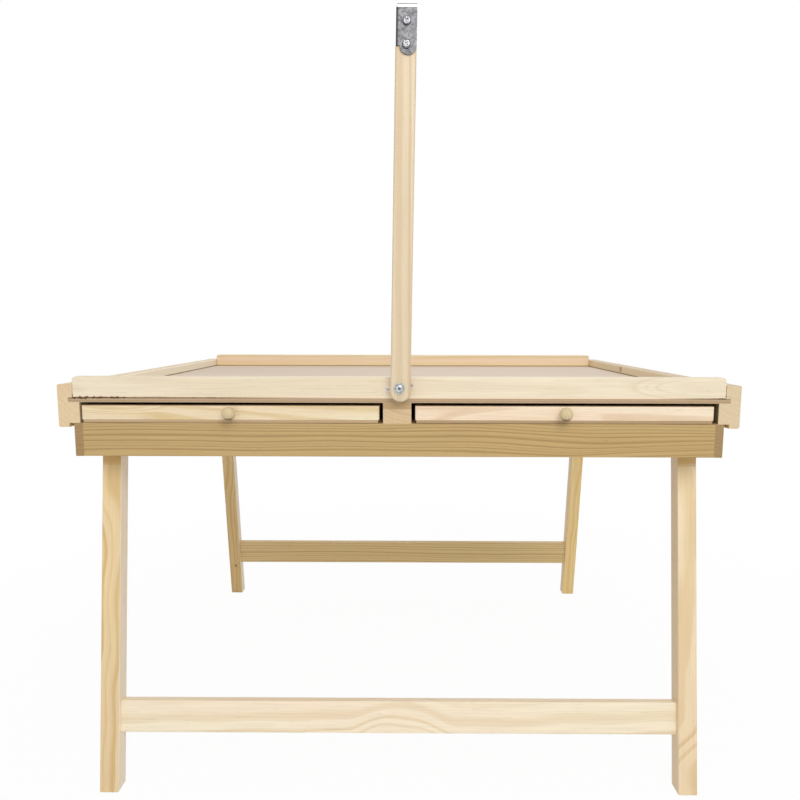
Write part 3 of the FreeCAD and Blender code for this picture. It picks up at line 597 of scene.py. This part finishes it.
# Rims. Two pale pine strips glued on the lining at the front and the rear, with rounded ends. The
# front one is nearly white sapwood with a faint grain that opens into a flame at its right end. The
# rear one has a dark foot and paler bands over it
timber(
    "front_rim",
    "X",
    (0.1, -0.275, 0.553),
    paint(239, 225, 198),
    paint(213, 190, 148),
    paint(238, 221, 196),
    ring=0.0048,
    contrast=0.34,
    wander=0.003,
    lean=(0.0, 0.012),
    end_tone=(0.95, 0.92, 0.88, 1),
    knots=(((0.405, -0.345, 0.556), (0.050, 0.02, 0.007), 0.0, 0.016),),
)
rear_rim_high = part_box("rear_rim")[1].z
timber(
    "rear_rim",
    "X",
    (-0.2, 0.30, 0.535),
    paint(244, 224, 190),
    paint(224, 192, 128),
    paint(246, 214, 186),
    ring=0.008,
    contrast=0.6,
    wander=0.004,
    lean=(0.0, 0.01),
    blush_share=0.9,
    shades=(
        ((0, -1, 0), lining_high - 0.002, lining_high + 0.0026, 0.8, paint(160, 130, 86)),
        ((0, -1, 0), lining_high + 0.0020, lining_high + 0.0075, 0.5, paint(250, 226, 164)),
        ((0, -1, 0), lining_high + 0.0070, lining_high + 0.0180, 0.5, paint(255, 222, 192)),
        ((0, 0, 1), rear_rim_high - 0.003, rear_rim_high + 0.002, 0.6, paint(246, 238, 198)),
    ),
)

# Centre beam and drawer stops. A square pine length between the drawers from front to back, whose end
# grain faces the front and carries a painted shadow of the arm at its top, and two strips across the
# middle that stop the drawers
beam_pale = paint(218, 192, 154)
beam_late = paint(182, 144, 94)
beam_blush = paint(210, 177, 143)
timber(
    "centre_beam",
    "Y",
    (0.020, 0.0, 0.600),
    beam_pale,
    beam_late,
    beam_blush,
    ring=0.0055,
    contrast=0.6,
    blush_share=0.8,
    end_tone=(1.0, 0.98, 0.94, 1),
    end_rings=0.4,
    # Painted shadow of the arm along the top of the beam's front end
    shades=(((0, -1, 0), slot_top - 0.009, slot_top + 0.1, 0.45, paint(150, 118, 62)),),
)
for side_name, pith_depth in (("left", 0.06), ("right", -0.05)):
    timber(
        side_name + "_drawer_stop",
        "X",
        (0.0, pith_depth, 0.49),
        beam_pale,
        beam_late,
        beam_blush,
    )

# Aprons. Darker, close-grained pine boards under the rails. The front and rear ones sit between the
# side ones, whose end grain shows at the corners
apron_pale = paint(195, 166, 111)
apron_late = paint(144, 108, 56)
apron_blush = paint(196, 160, 104)
apron_logs = (
    ("front_apron", "X", (0.25, -0.335, 0.640), (0.0, 0.0), (0.395, -0.345, 0.446)),
    ("rear_apron", "X", (-0.15, 0.330, 0.655), (0.006, 0.0), (-0.350, 0.345, 0.446)),
    ("left_apron", "Y", (-0.430, 0.1, 0.625), (0.0, 0.0), (-0.430, 0.2, 0.446)),
    ("right_apron", "Y", (0.432, -0.1, 0.630), (0.0, 0.0), (0.430, -0.2, 0.446)),
)
for name, along, pith, lean, flame in apron_logs:
    timber(
        name,
        along,
        pith,
        apron_pale,
        apron_late,
        apron_blush,
        ring=0.0050,
        contrast=0.74,
        wander=0.0070,
        lean=lean,
        end_tone=(0.71, 0.67, 0.70, 1),
        end_rings=0.4,
        knots=((flame, (0.080, 0.030, 0.016), 0.0, 0.010),),
    )

# Bottom panel and corner blocks. A thin plywood panel let in under the drawers, and a pine block glued
# into each corner, whose slanted face stops an open leg
panel_low, panel_high = (corner.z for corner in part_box("bottom_panel"))
plywood(
    "bottom_panel",
    paint(212, 186, 146),
    paint(188, 156, 112),
    paint(196, 168, 128),
    paint(160, 128, 90),
    plies=3,
    low=panel_low,
    high=panel_high,
)
block_draw = random.Random(4)
for end_name, end in (("front", -1), ("rear", 1)):
    for side_name, side in (("left", -1), ("right", 1)):
        timber(
            "%s_%s_corner_block" % (end_name, side_name),
            "X",
            (0.39 * side, (0.30 + block_draw.uniform(-0.05, 0.05)) * end, block_draw.uniform(0.42, 0.45)),
            beam_pale,
            beam_late,
            beam_blush,
            contrast=0.5,
        )

# Drawers. Shallow pine boxes on thin plywood bases. The fronts are pale flat-sawn boards with broad
# flames and a painted shade along their top edge, and each carries a small turned knob with a painted
# shade on its underside
drawer_pale = paint(242, 224, 194)
drawer_late = paint(212, 180, 130)
drawer_blush = paint(238, 210, 178)
front_tones = {
    "left": (paint(241, 233, 199), paint(210, 178, 108), paint(236, 212, 177)),
    "right": (paint(246, 233, 206), paint(214, 174, 132), paint(242, 217, 189)),
}
edge_tones = {
    "left": (paint(208, 178, 138), paint(178, 148, 112)),
    "right": (paint(194, 165, 125), paint(164, 135, 99)),
}
front_flames = {
    "left": (((-0.372, -0.345, 0.532), (0.028, 0.02, 0.005), 0.0, 0.012),),
    "right": (((0.150, -0.345, 0.508), (0.060, 0.02, 0.008), 0.0, 0.012),),
}
drawer_draw = random.Random(11)
for end_name, end in (("front", -1), ("rear", 1)):
    for side_name, side in (("left", -1), ("right", 1)):
        drawer = "%s_%s_drawer" % (end_name, side_name)
        timber(
            drawer + "_front",
            "X",
            (0.2 * side, (0.34 - drawer_draw.uniform(0.035, 0.05)) * end, drawer_draw.uniform(0.505, 0.52)),
            *front_tones[side_name],
            ring=0.0075,
            contrast=0.6,
            wander=0.006,
            lean=(0.0, drawer_draw.uniform(0.02, 0.04)),
            blush_share=0.8,
            knots=front_flames[side_name],
            # Painted shade along the top edge, where the gap above the drawer is dark
            shades=(((0, 0, 1), slot_foot, slot_top, 0.9, paint(172, 144, 108)),),
        )
        for board_name, along in (("inner_side", "Y"), ("outer_side", "Y"), ("back", "X")):
            low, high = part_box("%s_%s" % (drawer, board_name))
            middle = (low + high) / 2
            shift = (drawer_draw.uniform(-0.03, 0.03), drawer_draw.uniform(-0.03, 0.03), 0.06)
            timber(
                "%s_%s" % (drawer, board_name),
                along,
                [a + b for a, b in zip(middle, shift)],
                drawer_pale,
                drawer_late,
                drawer_blush,
                ring=0.006,
            )
        base_low, base_high = (corner.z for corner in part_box(drawer + "_base"))
        plywood(
            drawer + "_base",
            paint(222, 200, 164),
            paint(200, 172, 130),
            *edge_tones[side_name],
            plies=3,
            low=base_low,
            high=base_high,
        )
        timber(
            drawer + "_knob",
            "Y",
            (0.217 * side + 0.02, 0.0, 0.515),
            paint(218, 200, 160),
            paint(190, 164, 114),
            paint(220, 196, 160),
            ring=0.003,
            contrast=0.35,
            wander=0.001,
            end_tone=(0.97, 0.95, 0.92, 1),
            # Painted shade on the knob's underside
            shades=(((0, 0, -1), slot_foot, slot_top, 0.85, paint(100, 74, 38)),),
        )

# Leg frames. Square pine legs with softened edges, and a flat stretcher tenoned between each pair. The
# sapwood is pale with a few broad golden bands, the front faces carry a painted shadow of the apron
# right under it, and the inner faces are painted paler on the left legs and duller on the right ones
# as painted light
splay = math.radians(7.9)
apron_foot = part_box("front_apron")[0].z
apron_painted_shadow = paint(206, 168, 98)
leg_logs = (
    (
        "front_left_leg",
        (-0.421, -0.335, 0.25),
        (-splay, 0.006),
        (paint(238, 213, 164), paint(204, 166, 92), paint(235, 205, 164)),
        0.0095,
        (((-0.410, -0.292, 0.450), (0.014, 0.050, 0.036), 0.0, 0.013),),
    ),
    (
        "front_right_leg",
        (0.372, -0.262, 0.25),
        (-splay, -0.004),
        (paint(246, 228, 192), paint(222, 186, 130), paint(242, 216, 178)),
        0.016,
        (((0.396, -0.350, -0.012), (0.060, 0.050, 0.042), 0.0, 0.032),),
    ),
    (
        "rear_left_leg",
        (-0.43, 0.33, 0.25),
        (splay, 0.0),
        (paint(236, 208, 151), paint(202, 163, 95), paint(223, 191, 134)),
        0.0095,
        (((-0.3934, 0.3226, 0.0703), (0.0034, 0.0050, 0.0044), 0.9, 0.0075),),
    ),
    (
        "rear_right_leg",
        (0.36, 0.30, 0.25),
        (splay, 0.003),
        (paint(255, 231, 172), paint(234, 194, 115), paint(251, 217, 149)),
        0.0095,
        (),
    ),
)
for name, pith, lean, tones, ring, knots in leg_logs:
    inwards = 1 if "left" in name else -1
    # Painted light that makes the inner faces paler on the left legs and duller on the right ones
    inner_painted_light = paint(253, 240, 218) if "left" in name else paint(232, 210, 174)
    timber(
        name,
        "Z",
        pith,
        *tones,
        ring=ring,
        contrast=0.75,
        wander=0.008,
        waves=4.0,
        lean=lean,
        blush_share=0.7,
        knots=knots,
        shades=(
            # Painted shadow of the apron, in two steps
            ((0, -1, 0), apron_foot - 0.0210, apron_foot + 0.1, 0.5, apron_painted_shadow),
            ((0, -1, 0), apron_foot - 0.0175, apron_foot + 0.1, 0.6, apron_painted_shadow),
            ((inwards, 0, 0), 0.0, 0.6, 0.85, inner_painted_light),
        ),
    )
timber(
    "front_stretcher",
    "X",
    (0.0, -0.295, 0.140),
    paint(252, 239, 211),
    paint(222, 190, 138),
    paint(252, 230, 204),
    ring=0.015,
    contrast=0.5,
    wander=0.006,
    waves=2.8,
    lean=(0.0, 0.01),
    blush_share=0.6,
    knots=(((0.006, -0.340, 0.084), (0.028, 0.040, 0.025), 0.0, 0.016),),
)
timber(
    "rear_stretcher",
    "X",
    (0.1, 0.33, 0.19),
    paint(234, 208, 152),
    paint(188, 152, 88),
    paint(230, 198, 148),
    ring=0.006,
    contrast=0.7,
    wander=0.004,
)


# Metal. Zinc-plated leg pivots, washers and nuts, the cast flange plate with its screws, and the arm's
# bolt, whose head carries a painted shade on its rim and a painted dark spot for its recess, all dulled
# and finely scratched by handling
def plated(name, pale, dark, cell, roughness, spangle, folds=(), pit=None):
    """Plated steel with a spangle, fine scratches, any painted light and shade on folds, each from a height
    up and from one facing to another, and a painted dark pit about a line from front to back."""
    material = bpy.data.materials.new(name + "_metal")
    material.use_nodes = True
    tree = material.node_tree
    tree.nodes.clear()
    surface = add_node(tree, "TexCoord")
    place = surface.outputs["Object"]
    crystals = add_node(tree, "TexVoronoi", {"Vector": place, "Scale": 1 / cell, "Randomness": 1.0})
    grey = add_node(tree, "SeparateColor", {0: crystals.outputs["Color"]}).outputs[0]
    haze = add_node(tree, "TexNoise", {"Vector": place, "Scale": 420.0, "Detail": 5.0, "Roughness": 0.7})
    blend = add_node(
        tree, "Mix", {0: 1.0 - spangle, 2: grey, 3: haze.outputs["Fac"]}, data_type="FLOAT"
    ).outputs[0]
    blend = add_node(tree, "MapRange", {"Value": blend, "From Min": 0.25, "From Max": 0.75}).outputs[0]
    colour = add_node(tree, "Mix", {0: blend, 6: dark, 7: pale}, data_type="RGBA").outputs[2]
    soft_foot = 0.0005
    height = add_node(tree, "SeparateXYZ", {0: place}).outputs[2]
    for way, least, most, foot, tone in folds:
        turned = add_node(
            tree, "VectorMath", {0: surface.outputs["Normal"], 1: way}, operation="DOT_PRODUCT"
        ).outputs["Value"]
        turned = add_node(
            tree,
            "MapRange",
            {"Value": turned, "From Min": least, "From Max": most},
            interpolation_type="SMOOTHSTEP",
        ).outputs[0]
        over = add_node(tree, "MapRange", {"Value": height, "From Min": foot, "From Max": foot + soft_foot})
        share = add_node(tree, "Math", {0: turned, 1: over.outputs[0]}, operation="MULTIPLY").outputs[0]
        colour = add_node(tree, "Mix", {0: share, 6: colour, 7: tone}, data_type="RGBA").outputs[2]
    if pit:
        centre, pit_radius, tone = pit
        away = add_node(tree, "VectorMath", {0: place, 1: centre}, operation="SUBTRACT").outputs[0]
        away = add_node(tree, "VectorMath", {0: away, 1: (1, 0, 1)}, operation="MULTIPLY").outputs[0]
        away = add_node(tree, "VectorMath", {0: away}, operation="LENGTH").outputs["Value"]
        share = add_node(
            tree, "MapRange", {"Value": away, "From Min": pit_radius, "From Max": pit_radius * 0.8}
        ).outputs[0]
        colour = add_node(tree, "Mix", {0: share, 6: colour, 7: tone}, data_type="RGBA").outputs[2]
    drawn = add_node(tree, "Mapping", {"Vector": place, "Scale": (2600.0, 2600.0, 260.0)})
    scratches = add_node(tree, "TexNoise", {"Vector": drawn.outputs[0], "Scale": 1.0, "Detail": 2.0})
    polish = add_node(
        tree,
        "MapRange",
        {"Value": scratches.outputs["Fac"], "To Min": roughness * 0.7, "To Max": roughness * 1.3},
    ).outputs[0]
    bump = add_node(
        tree, "Bump", {"Height": scratches.outputs["Fac"], "Strength": 0.15, "Distance": 0.0001}
    )
    shader = add_node(
        tree,
        "BsdfPrincipled",
        {"Base Color": colour, "Metallic": 1.0, "Roughness": polish, "Normal": bump.outputs[0]},
    )
    add_node(tree, "OutputMaterial", {"Surface": shader.outputs[0]})
    finish(name, material)


zinc_pale = paint(206, 206, 204)
zinc_dark = paint(150, 150, 150)
plain_metals = (
    ("leg_pivot_bolts", zinc_pale, zinc_dark, 0.004, 0.35, 0.4),
    ("leg_pivot_washers", zinc_pale, zinc_dark, 0.004, 0.35, 0.4),
    ("leg_pivot_nuts", zinc_pale, zinc_dark, 0.004, 0.35, 0.4),
    ("pivot_plate", paint(230, 220, 208), paint(200, 190, 178), 0.006, 0.5, 0.2),
    ("plate_screws", paint(196, 188, 182), paint(150, 142, 138), 0.002, 0.4, 0.2),
    ("arm_washers", paint(208, 210, 205), paint(158, 161, 157), 0.003, 0.35, 0.3),
)
for name, pale, dark, cell, roughness, spangle in plain_metals:
    plated(name, pale, dark, cell, roughness, spangle)
bolt_low, bolt_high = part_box("arm_bolt")
recess_shade_radius = 0.0021
plated(
    "arm_bolt",
    paint(222, 224, 224),
    paint(160, 164, 166),
    cell=0.003,
    roughness=0.25,
    spangle=0.3,
    # Painted shade on the head's rim
    folds=(((0, -1, 0), 0.80, 0.35, 0.0, paint(96, 98, 98)),),
    # Painted dark spot standing for the shade in the head's recess
    pit=((bolt_low + bolt_high) / 2, recess_shade_radius, paint(112, 116, 124)),
)

# Swinging arm. A straight pine bar with softened edges and a round lower end. It is pale, with a
# warmer pinkish strip down its left side
timber(
    "swing_arm",
    "Z",
    (-0.048, -0.36, 0.75),
    paint(227, 210, 180),
    paint(200, 168, 122),
    paint(221, 197, 162),
    ring=0.012,
    contrast=0.55,
    wander=0.0020,
    lean=(0.0, -0.006),
    blush_share=0.5,
)

# Angle bracket and its screws. Galvanised sheet with a mottled spangle, a painted dark reflection on
# its rolled edge, a painted highlight along its top bend and a painted grey reflection on its top
# edge, held on the arm's upper end by two cross-recessed screws
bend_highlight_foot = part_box("arm_bracket")[1].z - 0.0053
plated(
    "arm_bracket",
    paint(134, 133, 135),
    paint(80, 79, 81),
    cell=0.0026,
    roughness=0.45,
    spangle=0.35,
    folds=(
        # Painted dark reflection on the rolled edge
        ((-1, 0, 0), 0.0, 0.85, 0.0, paint(66, 61, 62)),
        # Painted highlight along the top bend
        ((0, -1, 0), 0.30, 0.40, bend_highlight_foot, paint(252, 252, 252)),
        # Painted grey reflection on the top edge
        ((0, 0, 1), 0.34, 0.44, 0.0, paint(150, 148, 152)),
    ),
)
plated(
    "bracket_screws",
    paint(166, 167, 170),
    paint(92, 93, 97),
    cell=0.0012,
    roughness=0.32,
    spangle=0.6,
)
